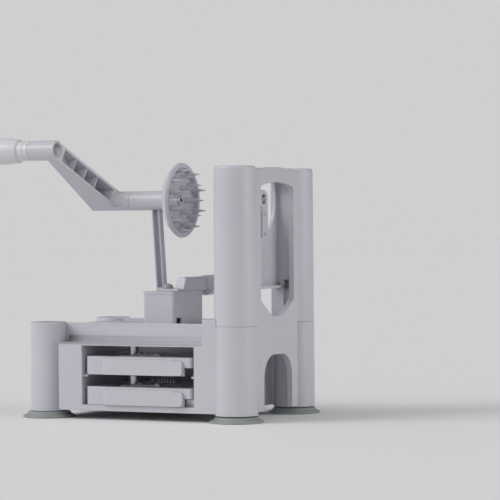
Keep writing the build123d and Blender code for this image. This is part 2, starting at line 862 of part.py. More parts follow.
# Crank arm: a tapered channel with cross ribs, from the shaft hub to the knob boss
arm_side = Plane(
    origin=(0, 0, spindle_height),
    x_dir=(1, 0, 0),
    z_dir=(0, -sin(radians(crank_raise)), -cos(radians(crank_raise))),
)
arm_rear_at_boss = boss_face - arm_depth_at_boss
with BuildPart() as crank_arm:
    with BuildSketch(arm_side):
        with BuildLine():
            Polyline(
                (hub_face, 0),
                (boss_face, crank_radius),
                (arm_rear_at_boss, crank_radius),
                (hub_rear, 0),
                close=True,
            )
        make_face()
    extrude(amount=hub_radius, both=True)
    # channel pocket, with the ribs left standing
    pocket_start = hub_radius + 0.5
    pocket_end = crank_radius - boss_radius + 1
    with BuildSketch(arm_side) as pocket:
        with BuildLine():
            Polyline(
                (hub_face + boss_radius, pocket_start),
                (boss_face + boss_radius, pocket_end),
                (arm_rear_at_boss + 1.6 * channel_wall, pocket_end),
                (hub_rear + 1.8 * channel_wall, pocket_start),
                close=True,
            )
        make_face()
    extrude(amount=hub_radius - channel_wall, both=True, mode=Mode.SUBTRACT)
    for index in range(crank_rib_count):
        rib_place = first_crank_rib + index * crank_rib_pitch
        rib_front = hub_face - crank_setback * rib_place / crank_radius - crank_rib
        with BuildSketch(arm_side.offset(-hub_radius + 1)):
            with Locations((rib_front, rib_place)):
                Rectangle(
                    rib_front - hub_rear + 2,
                    crank_rib,
                    align=(Align.MAX, Align.CENTER),
                )
            with Locations((hub_rear, rib_place)):
                Rectangle(
                    crank_radius, crank_radius, align=(Align.MAX, Align.CENTER), mode=Mode.SUBTRACT
                )
        extrude(amount=2 * hub_radius - 2)
    # hub on the shaft
    with BuildSketch(disc_plane(hub_rear, 0, spindle_height)):
        Circle(hub_radius)
    extrude(amount=sleeve_rear - running_gap - hub_rear)
    with BuildSketch(disc_plane(shaft_rear, 0, spindle_height)):
        Circle(shaft_radius)
    extrude(amount=sleeve_rear - shaft_rear, mode=Mode.SUBTRACT)
    # boss of the knob, an open cup whose floor carries the knob pin
    boss_rear = boss_face - boss_length
    with BuildSketch(disc_plane(boss_rear, knob_side, knob_height)):
        Circle(boss_radius)
    extrude(amount=boss_length)
    with BuildSketch(disc_plane(boss_rear + boss_web, knob_side, knob_height)):
        Circle(boss_bore_radius)
    extrude(amount=boss_length, mode=Mode.SUBTRACT)
    with BuildSketch(disc_plane(boss_rear - 1, knob_side, knob_height)):
        Circle(knob_pin_radius)
    extrude(amount=boss_web + 2, mode=Mode.SUBTRACT)
save(crank_arm.part, "crank_arm")


# Knob: a fixed pin through the boss floor, a turning grip on it and a cap over the end
pin_rear = knob_end + knob_cap_thickness + knob_pin_inset
with BuildPart() as knob_pin:
    with BuildSketch(disc_plane(pin_rear, knob_side, knob_height)):
        Circle(knob_pin_radius)
    extrude(amount=boss_rear + boss_web - pin_rear)
    with BuildSketch(disc_plane(boss_rear + boss_web, knob_side, knob_height)):
        Circle(knob_pin_head_radius)
    extrude(amount=knob_pin_head)
save(knob_pin.part, "knob_pin")

knob_section = Plane(origin=(0, knob_side, knob_height), x_dir=(1, 0, 0), z_dir=(0, -1, 0))
knob_axis = Axis((0, knob_side, knob_height), (1, 0, 0))
flange = knob_start - knob_collar_length
cap_seat = knob_end + knob_cap_thickness
with BuildPart() as knob_grip:
    with BuildSketch(knob_section):
        with BuildLine():
            Polyline(
                (knob_start, knob_pin_radius + shaft_clearance),
                (knob_start, knob_collar_radius),
                (flange + 1.5, knob_collar_radius),
                (flange, knob_grip_radius - knob_barrel),
            )
            ThreePointArc(
                (flange, knob_grip_radius - knob_barrel),
                ((flange + cap_seat) / 2, knob_grip_radius + knob_barrel),
                (cap_seat, knob_end_radius),
            )
            Polyline(
                (cap_seat, knob_end_radius),
                (cap_seat, knob_pin_radius + shaft_clearance),
                (knob_start, knob_pin_radius + shaft_clearance),
            )
        make_face()
    revolve(axis=knob_axis)
save(knob_grip.part, "knob_grip")

with BuildPart() as knob_cap:
    with BuildSketch(disc_plane(knob_end, knob_side, knob_height)):
        Circle(knob_end_radius)
    extrude(amount=knob_cap_thickness)
    cap_rim = knob_cap.edges().filter_by(GeomType.CIRCLE).sort_by(Axis.X)[0]
    fillet(cap_rim, radius=knob_cap_thickness - 0.6)
save(knob_cap.part, "knob_cap")


# Blade cassettes. A seat plane lies on the cutting face with its origin on the corer's
# axis: its normal is the way the corer points, and its Y runs towards the rounded end.
def cassette_outline(inset):
    """The frame's outline, drawn inwards by an inset, in the sketch that is open."""
    length = cassette_length - 2 * inset
    with Locations((0, cassette_above_axis - cassette_length / 2)):
        Rectangle(cassette_width - 2 * inset, length)


def cassette_frame(seat):
    with BuildPart() as frame:
        with BuildSketch(seat) as outline:
            cassette_outline(0)
            fillet(outline.vertices().group_by(Axis.Y)[-1], radius=cassette_top_corner)
            fillet(outline.vertices().group_by(Axis.Y)[0], radius=cassette_foot_corner)
        extrude(amount=-cassette_depth)
        with BuildSketch(seat.offset(-cassette_depth)) as pocket:
            cassette_outline(cassette_rim)
            inner_corner = cassette_top_corner - cassette_rim
            fillet(pocket.vertices().group_by(Axis.Y)[-1], radius=inner_corner)
            fillet(pocket.vertices().group_by(Axis.Y)[0], radius=cassette_foot_corner)
        extrude(amount=cassette_depth - cassette_web, mode=Mode.SUBTRACT)
        # shallow foot, below the level of the tab
        with BuildSketch(seat.offset(-cassette_foot_depth)):
            with Locations((0, cassette_above_axis - cassette_length)):
                Rectangle(
                    cassette_width + 2,
                    2 * cassette_foot_length,
                )
        extrude(amount=cassette_foot_depth - cassette_depth - 1, mode=Mode.SUBTRACT)
        # round opening in the web, crossed by the spoke that carries the blade
        with BuildSketch(seat.offset(1)) as opening:
            Circle(opening_radius)
            with Locations((0, opening_top)):
                Rectangle(
                    2 * opening_radius,
                    opening_radius,
                    align=(Align.CENTER, Align.MIN),
                    mode=Mode.SUBTRACT,
                )
            with Locations(((spoke_left + spoke_right) / 2, spoke_top)):
                Rectangle(
                    spoke_right - spoke_left,
                    2 * opening_radius,
                    align=(Align.CENTER, Align.MAX),
                    mode=Mode.SUBTRACT,
                )
            Circle(corer_boss_radius + 1, mode=Mode.SUBTRACT)
        extrude(amount=-cassette_web - 2, mode=Mode.SUBTRACT)
        # outlet slot under the blade's edge
        with BuildSketch(seat.offset(1)):
            with Locations(((slot_left + slot_right) / 2, -(blade_inner + blade_outer) / 2)):
                RectangleRounded(slot_right - slot_left, blade_outer - blade_inner - 2, 2)
        extrude(amount=-cassette_web - 2, mode=Mode.SUBTRACT)
        # boss that holds the corer
        with BuildSketch(seat):
            Circle(corer_boss_radius)
        extrude(amount=-corer_boss_depth)
        with BuildSketch(seat.offset(1)):
            Circle(corer_radius)
        extrude(amount=-corer_boss_depth - 2, mode=Mode.SUBTRACT)
        with BuildSketch(seat) as screw_holes:
            with Locations(*blade_screw_spots()):
                Circle(screw_radius)
        extrude(amount=-cassette_web, mode=Mode.SUBTRACT)
        # bowed grip face along the tab's side
        with BuildSketch(seat.offset(-bow_top)):
            side_x = -cassette_width / 2
            with BuildLine():
                RadiusArc(
                    (side_x, bow_start), (side_x - bow_step, bow_start - bow_step), -bow_step
                )
                ThreePointArc(
                    (side_x - bow_step, bow_start - bow_step),
                    (side_x - bow_rise, (bow_start + tab_center) / 2),
                    (side_x - bow_step, tab_center),
                )
                Polyline(
                    (side_x - bow_step, tab_center),
                    (side_x + 1, tab_center),
                    (side_x + 1, bow_start),
                    (side_x, bow_start),
                )
            make_face()
        extrude(amount=bow_top - cassette_depth)
        # pull tab on one long side
        tab_plane = Plane(
            origin=seat.from_local_coords((-cassette_width / 2 + cassette_rim, 0, 0)),
            x_dir=seat.y_dir,
            z_dir=-seat.x_dir,
        )
        tab_depth = cassette_depth - cassette_clearance - tab_top
        with BuildSketch(tab_plane):
            with Locations((tab_center, tab_top + tab_depth / 2)):
                RectangleRounded(tab_width, tab_depth, tab_corner)
        extrude(amount=cassette_rim + tab_thickness)
    return frame.part


def blade_screw_spots():
    """Centres of the two blade screws on the cutting face."""
    spot_x = (blade_root + slot_left) / 2
    return [
        (spot_x, -blade_inner - blade_screw_inset),
        (spot_x, -blade_outer + blade_screw_inset),
    ]


def slicing_blade(seat):
    with BuildPart() as blade:
        with BuildSketch(seat):
            with Locations(((blade_root + blade_edge) / 2, -(blade_inner + blade_outer) / 2)):
                Rectangle(blade_edge - blade_root, blade_outer - blade_inner)
            with Locations(*blade_screw_spots()):
                Circle(screw_radius, mode=Mode.SUBTRACT)
        extrude(amount=blade_thickness)
    return blade.part


def blade_screws(seat):
    with BuildPart() as screws:
        with BuildSketch(seat.offset(blade_thickness)):
            with Locations(*blade_screw_spots()):
                Circle(screw_head_radius)
        extrude(amount=blade_screw_head)
        with BuildSketch(seat.offset(blade_thickness)):
            with Locations(*blade_screw_spots()):
                Circle(screw_radius)
        extrude(amount=-(blade_thickness + cassette_web))
    return screws.part


def comb_blade(seat, pitch):
    """A strip of upright teeth that score the food before the blade slices it."""
    reach = blade_outer - blade_inner
    count = int(reach / pitch)
    with BuildPart() as comb:
        with BuildSketch(seat):
            with Locations((comb_left + comb_width / 2, -(blade_inner + blade_outer) / 2)):
                Rectangle(comb_width, reach)
        extrude(amount=blade_thickness)
        for index in range(count):
            tooth_y = -blade_inner - pitch * (index + 0.5)
            with BuildSketch(seat.offset(blade_thickness / 2)) as tooth:
                with Locations((comb_left + comb_width / 2, tooth_y)):
                    Rectangle(tooth_width, tooth_thickness)
            extrude(tooth.sketch, amount=tooth_height)
    return comb.part


def corer_tube(seat):
    with BuildPart() as corer:
        with BuildSketch(seat.offset(-corer_boss_depth)):
            Circle(corer_radius)
            Circle(corer_radius - corer_wall, mode=Mode.SUBTRACT)
        extrude(amount=corer_boss_depth + corer_reach)
    return corer.part


def store_seat(height):
    """A cassette lying in the bay: corer up, rounded end to the rear."""
    return Plane(origin=(store_axis, store_side, height), x_dir=(0, 1, 0), z_dir=(0, 0, 1))


tower_seat = Plane(origin=(blade_plane, 0, spindle_height), x_dir=(0, -1, 0), z_dir=(-1, 0, 0))
cassettes = {
    "tower": (tower_seat, coarse_tooth_pitch),
    "upper": (store_seat(upper_store_height), None),
    "lower": (store_seat(lower_store_height), fine_tooth_pitch),
}
for cassette_name, (seat, tooth_pitch) in cassettes.items():
    save(cassette_frame(seat), f"{cassette_name}_cassette_frame")
    save(slicing_blade(seat), f"{cassette_name}_cassette_blade")
    save(blade_screws(seat), f"{cassette_name}_cassette_screws")
    save(corer_tube(seat), f"{cassette_name}_cassette_corer")
    if tooth_pitch:
        save(comb_blade(seat, tooth_pitch), f"{cassette_name}_cassette_comb")
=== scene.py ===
import bpy, bmesh
from math import cos, pi, radians, sin
from mathutils import Matrix, Vector


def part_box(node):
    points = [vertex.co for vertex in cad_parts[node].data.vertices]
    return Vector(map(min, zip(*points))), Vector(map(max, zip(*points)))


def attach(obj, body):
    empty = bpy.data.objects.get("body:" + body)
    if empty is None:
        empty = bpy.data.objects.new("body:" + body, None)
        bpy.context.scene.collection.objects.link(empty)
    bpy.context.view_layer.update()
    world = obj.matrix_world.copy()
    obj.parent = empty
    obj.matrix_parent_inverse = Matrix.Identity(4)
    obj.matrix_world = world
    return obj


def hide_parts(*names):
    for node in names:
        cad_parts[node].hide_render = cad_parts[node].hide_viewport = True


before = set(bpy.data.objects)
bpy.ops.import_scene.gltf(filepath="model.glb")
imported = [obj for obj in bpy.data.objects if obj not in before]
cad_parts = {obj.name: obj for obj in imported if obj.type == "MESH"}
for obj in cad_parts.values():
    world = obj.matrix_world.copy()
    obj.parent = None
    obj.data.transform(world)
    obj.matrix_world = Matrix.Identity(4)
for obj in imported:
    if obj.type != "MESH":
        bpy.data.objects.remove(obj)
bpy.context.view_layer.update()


# Base. One injection moulding in glossy white ABS: four lower columns, the rail box with
# its deck, and the shell with the storage window. It comes straight from the mould, so its
# faces are slightly wavy and its outer edges are softly rounded.
white_light = (0.61, 0.61, 0.65, 1)
white_deep = (0.555, 0.56, 0.61, 1)
mould_edge = 0.0005
tone_patch_scale = 14
flow_mark_scale = 45
sink_mark_scale = 38
sink_mark_depth = 0.0008
orange_peel_scale = 900
orange_peel_depth = 0.0002


def moulded_plastic(name, light, deep, gloss=0.3, coat=0.15):
    """Moulded plastic or rubber: drifting tone, faint flow marks and fine orange peel."""
    material = bpy.data.materials.new(name)
    material.use_nodes = True
    nodes, links = material.node_tree.nodes, material.node_tree.links
    shader = nodes["Principled BSDF"]
    place = nodes.new("ShaderNodeTexCoord")
    drift = nodes.new("ShaderNodeTexNoise")
    drift.inputs["Scale"].default_value = tone_patch_scale
    drift.inputs["Detail"].default_value = 3
    tone = nodes.new("ShaderNodeMix")
    tone.data_type = "RGBA"
    tone.inputs["A"].default_value = deep
    tone.inputs["B"].default_value = light
    links.new(place.outputs["Object"], drift.inputs["Vector"])
    links.new(drift.outputs["Fac"], tone.inputs["Factor"])
    links.new(tone.outputs["Result"], shader.inputs["Base Color"])
    sheen = nodes.new("ShaderNodeMapRange")
    sheen.inputs["To Min"].default_value = gloss - 0.06
    sheen.inputs["To Max"].default_value = gloss + 0.08
    smear = nodes.new("ShaderNodeTexNoise")
    smear.inputs["Scale"].default_value = flow_mark_scale
    links.new(place.outputs["Object"], smear.inputs["Vector"])
    links.new(smear.outputs["Fac"], sheen.inputs["Value"])
    links.new(sheen.outputs["Result"], shader.inputs["Roughness"])
    wave = nodes.new("ShaderNodeTexNoise")
    wave.inputs["Scale"].default_value = sink_mark_scale
    wave.inputs["Detail"].default_value = 1
    sink = nodes.new("ShaderNodeBump")
    sink.inputs["Strength"].default_value = 0.12
    sink.inputs["Distance"].default_value = sink_mark_depth
    peel = nodes.new("ShaderNodeTexNoise")
    peel.inputs["Scale"].default_value = orange_peel_scale
    grain = nodes.new("ShaderNodeBump")
    grain.inputs["Strength"].default_value = 0.05
    grain.inputs["Distance"].default_value = orange_peel_depth
    links.new(place.outputs["Object"], wave.inputs["Vector"])
    links.new(place.outputs["Object"], peel.inputs["Vector"])
    links.new(wave.outputs["Fac"], sink.inputs["Height"])
    links.new(peel.outputs["Fac"], grain.inputs["Height"])
    links.new(sink.outputs["Normal"], grain.inputs["Normal"])
    links.new(grain.outputs["Normal"], shader.inputs["Normal"])
    shader.inputs["Coat Weight"].default_value = coat
    shader.inputs["Coat Roughness"].default_value = 0.12
    return material


def place_piece(name, shape, material, body, slot, *nodes):
    """Turn a finished shape into a named piece that stands for its CAD nodes."""
    bmesh.ops.remove_doubles(shape, verts=shape.verts, dist=0.000001)
    bmesh.ops.recalc_face_normals(shape, faces=shape.faces)
    mesh = bpy.data.meshes.new(name)
    shape.to_mesh(mesh)
    shape.free()
    mesh.polygons.foreach_set("use_smooth", [True] * len(mesh.polygons))
    mesh.set_sharp_from_angle(angle=radians(40))
    mesh.materials.append(material)
    piece = bpy.data.objects.new(name, mesh)
    bpy.context.collection.objects.link(piece)
    flats = piece.modifiers.new("flat faces stay flat", "WEIGHTED_NORMAL")
    flats.keep_sharp = True
    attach(piece, body)
    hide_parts(*nodes)
    return piece


def rounded_moulding(name, node, material, body, edge=mould_edge, shortest=4):
    """A moulding from its CAD solid, with the facets joined and the outer edges rounded.

    Edges shorter than so many roundings stay sharp, because there the faces beside them would
    fold over each other.
    """
    shape = bmesh.new()
    shape.from_mesh(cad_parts[node].data)
    bmesh.ops.remove_doubles(shape, verts=shape.verts, dist=0.000002)
    bmesh.ops.dissolve_limit(
        shape, angle_limit=radians(0.5), verts=shape.verts, edges=shape.edges, delimit={"NORMAL"}
    )
    corners = [
        line for line in shape.edges
        if line.calc_face_angle(0) > radians(30) and line.is_convex
        and line.calc_length() > shortest * edge
    ]
    bmesh.ops.bevel(
        shape, geom=corners, offset=edge, offset_type="OFFSET", segments=2, profile=0.5,
        affect="EDGES", material=-1, loop_slide=True,
    )
    return place_piece(name, shape, material, body, "white_plastic", node)


white_abs = moulded_plastic("white_abs", white_light, white_deep)
rounded_moulding("base_moulding", "base_shell", white_abs, "frame")


# Tower. The second big moulding, in the same white ABS, set down on the front columns and
# screwed from below with plain steel screws. It carries the upper columns, the arched front
# wall and the two channels that a cassette slides down.
def steel(name, low_tone, high_tone, gloss, stretch=(1, 1, 1)):
    """Stainless steel with fine marks; the stretch lays them along one direction."""
    material = bpy.data.materials.new(name)
    material.use_nodes = True
    nodes, links = material.node_tree.nodes, material.node_tree.links
    shader = nodes["Principled BSDF"]
    shader.inputs["Metallic"].default_value = 1
    place = nodes.new("ShaderNodeTexCoord")
    lay = nodes.new("ShaderNodeMapping")
    lay.inputs["Scale"].default_value = stretch
    marks = nodes.new("ShaderNodeTexNoise")
    marks.inputs["Scale"].default_value = 240
    marks.inputs["Detail"].default_value = 4
    tone = nodes.new("ShaderNodeMix")
    tone.data_type = "RGBA"
    tone.inputs["A"].default_value = low_tone
    tone.inputs["B"].default_value = high_tone
    rough = nodes.new("ShaderNodeMapRange")
    rough.inputs["To Min"].default_value = gloss - 0.06
    rough.inputs["To Max"].default_value = gloss + 0.10
    links.new(place.outputs["Object"], lay.inputs["Vector"])
    links.new(lay.outputs["Vector"], marks.inputs["Vector"])
    links.new(marks.outputs["Fac"], tone.inputs["Factor"])
    links.new(marks.outputs["Fac"], rough.inputs["Value"])
    links.new(tone.outputs["Result"], shader.inputs["Base Color"])
    links.new(rough.outputs["Result"], shader.inputs["Roughness"])
    return material


def finish_node(name, material):
    """Give a carried-over CAD node its material."""
    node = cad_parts[name]
    node.data.materials.clear()
    node.data.materials.append(material)


plain_steel = steel("plain_steel", (0.50, 0.51, 0.52, 1), (0.68, 0.69, 0.70, 1), 0.3)
rounded_moulding("tower_moulding", "tower", white_abs, "frame")
finish_node("tower_screws", plain_steel)


# Feet. Four soft grey-green rubber suction cups, each moulded with a stem that snaps
# through a hole in the column's floor. The disc steps in twice towards its neck.
rubber_light = (0.33, 0.36, 0.345, 1)
rubber_deep = (0.26, 0.29, 0.28, 1)
rubber_glow = 0.15
rubber_glow_depth = 0.004
foot_outline = [
    (0, 0.0030), (0.0080, 0.0029), (0.0150, 0.0018), (0.0196, 0.0003), (0.0202, 0),
    (0.0224, 0), (0.0229, 0.0004), (0.0230, 0.0010), (0.0227, 0.0016), (0.0215, 0.0021),
    (0.0196, 0.0029), (0.0192, 0.0034), (0.0188, 0.0043), (0.0180, 0.0049), (0.0160, 0.0055),
    (0.0130, 0.0060), (0.0030, 0.0060), (0.0030, 0.0087), (0.0046, 0.0087), (0.0030, 0.0113),
    (0, 0.0113),
]


def turn_outline(shape, outline, centre, along, across, steps=72):
    """Turn an outline of (radius, distance along) points once round an axis."""
    centre, along, across = Vector(centre), Vector(along), Vector(across)
    chain = [shape.verts.new(centre + across * out + along * far) for out, far in outline]
    lines = [shape.edges.new(pair) for pair in zip(chain, chain[1:])]
    bmesh.ops.spin(
        shape, geom=chain + lines, cent=centre, axis=along, angle=2 * pi, steps=steps,
        use_merge=True,
    )


soft_rubber = moulded_plastic("soft_rubber", rubber_light, rubber_deep, 0.42, 0.05)
rubber_shader = soft_rubber.node_tree.nodes["Principled BSDF"]
rubber_shader.inputs["Subsurface Weight"].default_value = rubber_glow
rubber_shader.inputs["Subsurface Scale"].default_value = rubber_glow_depth
for node in ("front_near_foot", "front_far_foot", "rear_near_foot", "rear_far_foot"):
    low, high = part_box(node)
    foot = bmesh.new()
    foot_centre = ((low.x + high.x) / 2, (low.y + high.y) / 2, 0)
    turn_outline(foot, foot_outline, foot_centre, (0, 0, 1), (1, 0, 0))
    place_piece(
        node.replace("_foot", "_suction_foot"), foot, soft_rubber, "frame", "foot_rubber", node
    )


# Carriage. A hollow white block that slides on the deck, kept down by a retainer screwed
# under it. Both are the same white ABS, and the screw is plain steel.
rounded_moulding("carriage_moulding", "carriage", white_abs, "carriage")
rounded_moulding("retainer_moulding", "carriage_retainer", white_abs, "carriage")
finish_node("retainer_screw", plain_steel)


# Upright post. A leaning white channel moulding on the carriage with the spindle's sleeve
# across its top, held by one screw from inside the block.
post_edge = 0.0004

rounded_moulding("post_moulding", "upright_post", white_abs, "carriage", post_edge)
finish_node("post_screw", plain_steel)


# Push handle. A white moulded bar across the carriage that swells into a round grip on the
# far side. Its near foot is held by a screw under a domed cap, coloured grey as painted shade.
# The cap's two tones are painted shade: a white dome coloured grey as it looks in shade.
cap_shaded_light = (0.36, 0.36, 0.37, 1)
cap_shaded_deep = (0.29, 0.29, 0.30, 1)
cap_stem_radius = 0.0015
cap_stem_length = 0.0022
dome_foot_inset = 0.0002
dome_foot_rise = 0.0003
dome_side = 0.0010

rounded_moulding("handle_moulding", "push_handle", white_abs, "carriage", shortest=0)
# Painted shade: the white cap gets a grey base colour instead of white.
grey_cap = moulded_plastic("grey_cap", cap_shaded_light, cap_shaded_deep, 0.32, 0.2)
low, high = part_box("handle_screw")
dome_radius = (high.x - low.x) / 2
dome_height = high.z - low.z - cap_stem_length
dome_outline = [(0, -cap_stem_length), (cap_stem_radius, -cap_stem_length), (cap_stem_radius, 0)]
dome_outline += [
    (dome_radius - dome_foot_inset, 0), (dome_radius, dome_foot_rise), (dome_radius, dome_side)
]
for step in range(1, 9):
    rise = step / 8 * pi / 2
    dome_outline.append((
        dome_radius * cos(rise), dome_side + (dome_height - dome_side) * sin(rise)
    ))
dome_outline[-1] = (0, dome_height)
dome = bmesh.new()
turn_outline(
    dome, dome_outline, ((low.x + high.x) / 2, (low.y + high.y) / 2, low.z + cap_stem_length),
    (0, 0, 1), (1, 0, 0), 32,
)
place_piece("handle_screw_cap", dome, grey_cap, "carriage", "grey_cap", "handle_screw")


# Spiked wheel and its shaft. The wheel is a white moulded dish with rings of round spikes
# that hold the food. A steel pan-head screw fixes it to the end of the steel shaft.
wheel_edge = 0.0002
wheel_screw_head = 0.0018
screw_shank_radius = 0.0015


def pan_head_screw(shape, seat, head_radius, head_height, shank_length):
    """Add a pan-head screw with a cross recess, its head's seat on the seat's XY plane."""
    top_radius = 0.62 * head_radius
    head = bmesh.new()
    turn_outline(
        head,
        [
            (0, -shank_length), (screw_shank_radius, -shank_length), (screw_shank_radius, 0),
            (head_radius, 0), (head_radius, 0.45 * head_height),
            (0.93 * head_radius, 0.75 * head_height), (0.8 * head_radius, 0.93 * head_height),
            (top_radius, head_height),
        ],
        (0, 0, 0), (0, 0, 1), (1, 0, 0), 24,
    )
    bmesh.ops.remove_doubles(head, verts=head.verts, dist=0.000001)
    rim = [line for line in head.edges if line.is_boundary]
    arm, reach = 0.12 * head_radius, 0.46 * head_radius
    quarter = [(arm, reach), (arm, arm), (reach, arm)]
    cross = []
    for turn in range(4):
        spun = Matrix.Rotation(-turn * pi / 2, 3, "Z")
        cross += [head.verts.new(spun @ Vector((x, y, head_height))) for x, y in quarter]
    recess = [head.edges.new(pair) for pair in zip(cross, cross[1:] + cross[:1])]
    bmesh.ops.bridge_loops(head, edges=rim + recess)
    deep = bmesh.ops.extrude_edge_only(head, edges=recess)["geom"]
    floor_points = [part for part in deep if isinstance(part, bmesh.types.BMVert)]
    floor_lines = [part for part in deep if isinstance(part, bmesh.types.BMEdge)]
    bmesh.ops.translate(head, verts=floor_points, vec=(0, 0, -0.6 * head_height))
    bmesh.ops.contextual_create(head, geom=floor_lines)
    bmesh.ops.transform(head, matrix=seat, verts=head.verts)
    part = bpy.data.meshes.new("screw")
    head.to_mesh(part)
    head.free()
    shape.from_mesh(part)
    bpy.data.meshes.remove(part)


rounded_moulding("wheel_moulding", "spiked_wheel", white_abs, "spindle", wheel_edge)
finish_node("spindle_shaft", plain_steel)
low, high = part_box("wheel_screw")
screw_seat = Matrix((
    (0, 0, 1, high.x - wheel_screw_head),
    (1, 0, 0, (low.y + high.y) / 2),
    (0, 1, 0, (low.z + high.z) / 2),
    (0, 0, 0, 1),
))
wheel_screw = bmesh.new()
pan_head_screw(wheel_screw, screw_seat, (high.y - low.y) / 2, wheel_screw_head,
               high.x - low.x - wheel_screw_head)
place_piece("wheel_pan_screw", wheel_screw, plain_steel, "spindle", "steel", "wheel_screw")


# Crank arm and knob. The arm is a tapered white channel moulding with cross ribs. The knob
# turns on a steel pin through the arm's boss: a collar, a barrel grip and a pressed-in cap.
crank_edge = 0.0004
knob_light = (0.71, 0.71, 0.73, 1)
knob_deep = (0.66, 0.66, 0.69, 1)
pin_hole_radius = 0.00305
collar_radius = 0.0087
collar_length = 0.012
collar_chamfer = 0.0005
groove_start, groove_end, groove_depth = 0.0040, 0.0054, 0.0004
flange_slope = 0.0016
flange_radius = 0.0104
grip_end_radius = 0.0096
grip_swell = 0.0016
cap_round = 0.0024
dimple_rim, dimple_floor = 0.5, 0.45
dimple_step, dimple_depth = 0.0004, 0.0006

rounded_moulding("crank_moulding", "crank_arm", white_abs, "spindle", crank_edge)
finish_node("knob_pin", plain_steel)
knob_plastic = moulded_plastic("knob_plastic", knob_light, knob_deep, 0.26, 0.2)
low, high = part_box("knob_grip")
knob_centre_y, knob_centre_z = (low.y + high.y) / 2, (low.z + high.z) / 2
grip_length = high.x - low.x
grip_outline = [
    (pin_hole_radius, 0), (collar_radius - collar_chamfer, 0), (collar_radius, collar_chamfer),
    (collar_radius, groove_start), (collar_radius - groove_depth, groove_start + groove_depth),
    (collar_radius - groove_depth, groove_end - groove_depth), (collar_radius, groove_end),
    (collar_radius, collar_length - flange_slope),
]
for step in range(25):
    part = step / 24
    swell = flange_radius + (grip_end_radius - flange_radius) * part + grip_swell * sin(pi * part)
    grip_outline.append((swell, collar_length + (grip_length - collar_length) * part))
grip_outline += [(pin_hole_radius, grip_length), (pin_hole_radius, 0)]
grip = bmesh.new()
turn_outline(grip, grip_outline, (high.x, knob_centre_y, knob_centre_z), (-1, 0, 0), (0, 0, 1))
place_piece("knob_barrel", grip, knob_plastic, "knob", "white_plastic", "knob_grip")

low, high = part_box("knob_cap")
cap_radius, cap_length = (high.y - low.y) / 2, high.x - low.x
cap_outline = [(0, 0), (cap_radius, 0), (cap_radius, cap_length - cap_round)]
for step in range(1, 7):
    bend = step / 6 * pi / 2
    cap_outline.append((
        cap_radius - cap_round * (1 - cos(bend)), cap_length - cap_round * (1 - sin(bend))
    ))
cap_outline += [
    (dimple_rim * cap_radius, cap_length), (dimple_floor * cap_radius, cap_length - dimple_step),
    (0, cap_length - dimple_depth),
]
cap = bmesh.new()
turn_outline(cap, cap_outline, (high.x, knob_centre_y, knob_centre_z), (-1, 0, 0), (0, 0, 1))
place_piece("knob_end_cap", cap, knob_plastic, "knob", "white_plastic", "knob_cap")


# Blade cassettes. Each is a white moulded frame with a pull tab. It carries a ground steel
# blade held by two screws, a pressed corer tube with a sharpened rim and, on two of them,
# a comb of pointed teeth that scores the food first.
frame_edge = 0.0003
corer_reach = 0.0084
corer_radius = 0.00475
corer_wall = 0.0006
corer_grind = 0.0016
corer_rim_land = 0.0001
blade_thickness = 0.0008
blade_grind = 0.0030
blade_edge_thickness = 0.00006
blade_corner = 0.0012
blade_lift = radians(6)
blade_root, blade_edge = -0.0175, -0.0010
blade_inner, blade_outer = -0.0080, -0.0350
blade_screw_head = 0.0011
blade_screw_radius = 0.0030
blade_screw_inset = 0.0050
blade_screw_rise = 0.0003
web_thickness = 0.0030
comb_left, comb_width, comb_edge = 0.0090, 0.0050, 0.0002
tooth_width, tooth_thickness, tooth_height = 0.0036, 0.0009, 0.0036
tooth_pitches = {"tower": 0.006, "lower": 0.003}
blade_low_tone, blade_high_tone = (0.74, 0.75, 0.76, 1), (0.90, 0.90, 0.91, 1)
grind_stretch = (1, 1, 0.1)

